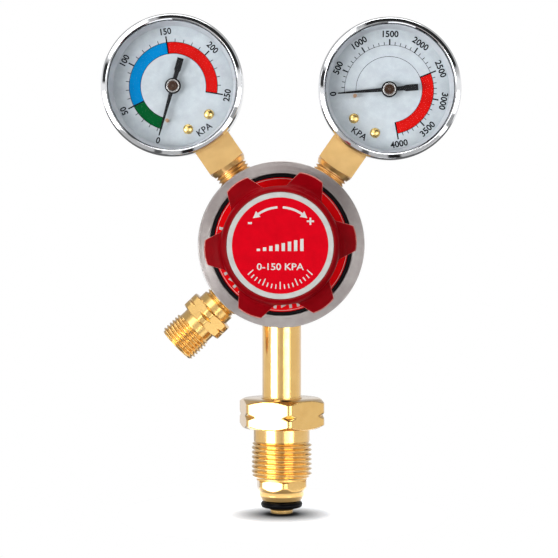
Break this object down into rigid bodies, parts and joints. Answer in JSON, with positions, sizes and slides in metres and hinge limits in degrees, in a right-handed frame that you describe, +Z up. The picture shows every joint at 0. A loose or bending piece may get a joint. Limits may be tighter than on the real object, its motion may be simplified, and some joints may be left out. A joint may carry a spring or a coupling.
{
  "type": "gas regulator",
  "caption": "Single-stage cylinder gas regulator: lobed adjusting knob on a round body, pressure gauges on angled stems, side hose outlet and a bullnose inlet stem with a loose union nut.",
  "frame": {"origin": "on the inlet stem axis, at the lower edge of the cylindrical wall of the inlet nose, where the nose enters the cylinder valve", "axes": "+Z up the inlet stem, -Y the way the knob and dials face, +X to the viewer's right; all ports lie in the plane Y = 0"},
  "size_m": [0.1342, 0.0684, 0.1889],
  "materials": {
    "forged_brass": "as-forged, satin",
    "brass": "machined, bright",
    "black_enamel": "semi-gloss black",
    "satin_ring": "satin, turned",
    "red_label": "printed film",
    "steel": "plain",
    "black_rubber": "smooth",
    "seat_plastic": "moulded",
    "knob_red": "moulded, semi-gloss",
    "badge_print": "printed film",
    "sintered_bronze": "dull",
    "chrome": "polished",
    "clear_lens": "clear",
    "grey_ring": "satin",
    "dial_white": "printed",
    "pointer_black": "matt black"
  },
  "bodies": {
    "regulator": {"body_forging": "forged_brass", "bonnet": "black_enamel", "bonnet_label": "red_label", "bonnet_ring": "satin_ring", "diaphragm": "black_rubber", "high_bezel": "chrome", "high_bourdon_tube": "sintered_bronze", "high_case": "chrome", "high_dial": "dial_white", "high_dial_screws": "brass", "high_lens": "clear_lens", "high_movement_frame": "brass", "high_socket": "brass", "high_spacer_ring": "grey_ring", "high_stop_pin": "brass", "inlet_filter": "sintered_bronze", "inlet_nipple": "brass", "inlet_o_ring": "black_rubber", "inlet_tube": "brass", "low_bezel": "chrome", "low_bourdon_tube": "sintered_bronze", "low_case": "chrome", "low_dial": "dial_white", "low_dial_screws": "brass", "low_lens": "clear_lens", "low_movement_frame": "brass", "low_socket": "brass", "low_spacer_ring": "grey_ring", "low_stop_pin": "brass", "outlet_fitting": "brass", "rear_cap": "brass", "rear_cap_o_ring": "black_rubber", "seat_nozzle": "brass", "slip_ring": "steel"},
    "spring_button": {"spring_button": "steel", "main_spring": "steel"},
    "knob": {"knob": "knob_red", "knob_badge": "badge_print", "adjusting_screw": "steel"},
    "valve_train": {"diaphragm_plate": "steel", "diaphragm_washer": "brass", "valve_pin": "steel", "poppet_seat": "seat_plastic", "poppet": "brass", "valve_spring": "steel"},
    "nut_washer": {"nut_washer": "brass"},
    "inlet_nut": {"inlet_nut": "brass"},
    "low_pointer": {"low_pointer": "pointer_black", "low_pointer_boss": "brass", "low_pinion_shaft": "steel"},
    "low_sector": {"low_sector_gear": "brass"},
    "low_link": {"low_tip_link": "brass"},
    "high_pointer": {"high_pointer": "pointer_black", "high_pointer_boss": "brass", "high_pinion_shaft": "steel"},
    "high_sector": {"high_sector_gear": "brass"},
    "high_link": {"high_tip_link": "brass"}
  },
  "joints": [
    {"name": "screw_advance", "type": "slide", "parent": "regulator", "child": "spring_button", "axis": [0, 1, 0], "range_m": [0, 0.005], "deforming": ["main_spring"]},
    {"name": "knob_turn", "type": "hinge", "parent": "spring_button", "child": "knob", "pos_m": [0, 0, 0.1027], "axis": [0, 1, 0], "range_deg": [0, 1440]},
    {"name": "valve_lift", "type": "slide", "parent": "regulator", "child": "valve_train", "axis": [0, 1, 0], "range_m": [0, 0.0008], "stiffness_N_per_m": 1500, "springref_m": -0.001, "deforming": ["diaphragm", "valve_spring"]},
    {"name": "nut_slide", "type": "slide", "parent": "regulator", "child": "nut_washer", "axis": [0, 0, 1], "range_m": [0, 0.026]},
    {"name": "nut_spin", "type": "hinge", "parent": "nut_washer", "child": "inlet_nut", "pos_m": [0, 0, 0], "axis": [0, 0, 1], "continuous": true},
    {"name": "low_sector_turn", "type": "hinge", "parent": "regulator", "child": "low_sector", "pos_m": [-0.03435, 0, 0.15323], "axis": [0, -1, 0], "range_deg": [0, 33], "stiffness_Nm_per_rad": 0.0002, "springref_deg": -28.65},
    {"name": "low_pointer_turn", "type": "hinge", "parent": "regulator", "child": "low_pointer", "pos_m": [-0.04062, 0, 0.16203], "axis": [0, 1, 0], "range_deg": [0, 264]},
    {"name": "low_link_turn", "type": "hinge", "parent": "low_sector", "child": "low_link", "pos_m": [-0.04286, 0, 0.1503], "axis": [0, 1, 0], "range_deg": [0, 33]},
    {"name": "high_sector_turn", "type": "hinge", "parent": "regulator", "child": "high_sector", "pos_m": [0.03427, 0, 0.15177], "axis": [0, -1, 0], "range_deg": [0, 33], "stiffness_Nm_per_rad": 0.0002, "springref_deg": -28.65},
    {"name": "high_pointer_turn", "type": "hinge", "parent": "regulator", "child": "high_pointer", "pos_m": [0.04037, 0, 0.16068], "axis": [0, 1, 0], "range_deg": [0, 264]},
    {"name": "high_link_turn", "type": "hinge", "parent": "high_sector", "child": "high_link", "pos_m": [0.02859, 0, 0.15875], "axis": [0, 1, 0], "range_deg": [0, 33]}
  ],
  "couplings": [
    {"joint": "screw_advance", "follows": "knob_turn", "m_per_rad": 0.00019894},
    {"joint": "low_pointer_turn", "follows": "low_sector_turn", "ratio": 8},
    {"joint": "low_link_turn", "follows": "low_sector_turn", "ratio": 1},
    {"joint": "high_pointer_turn", "follows": "high_sector_turn", "ratio": 8},
    {"joint": "high_link_turn", "follows": "high_sector_turn", "ratio": 1}
  ]
}
